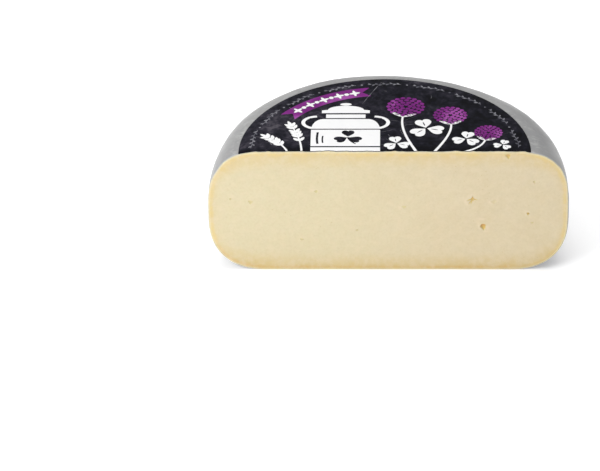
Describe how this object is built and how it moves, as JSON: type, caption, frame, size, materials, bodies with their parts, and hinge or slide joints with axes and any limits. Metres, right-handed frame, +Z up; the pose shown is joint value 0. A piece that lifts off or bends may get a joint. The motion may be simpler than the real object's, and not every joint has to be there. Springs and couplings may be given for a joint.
{
  "type": "buffalo milk cheese half wheel",
  "caption": "Half wheel of semi-hard buffalo milk cheese: smooth ivory cut face with small eyes and tears, soft grey rind, round paper label cut through with it.",
  "frame": {"origin": "middle of the space the half wheel takes up, on the surface it rests on", "axes": "+X along the cut face, to the right as one looks at it; +Y from the cut face to the round back; +Z up"},
  "size_m": [0.2506, 0.1322, 0.0971],
  "materials": {
    "paste": "smooth, slightly moist cut cheese",
    "rind": "grey coated rind, satin, with pale scuffs",
    "label": "black printed paper under a thin coat, satin",
    "print_white": "white print, satin",
    "print_purple": "purple print, satin",
    "print_grey": "grey print, satin"
  },
  "bodies": {
    "root": {"cheese": "paste", "label": "label"}
  },
  "joints": []
}
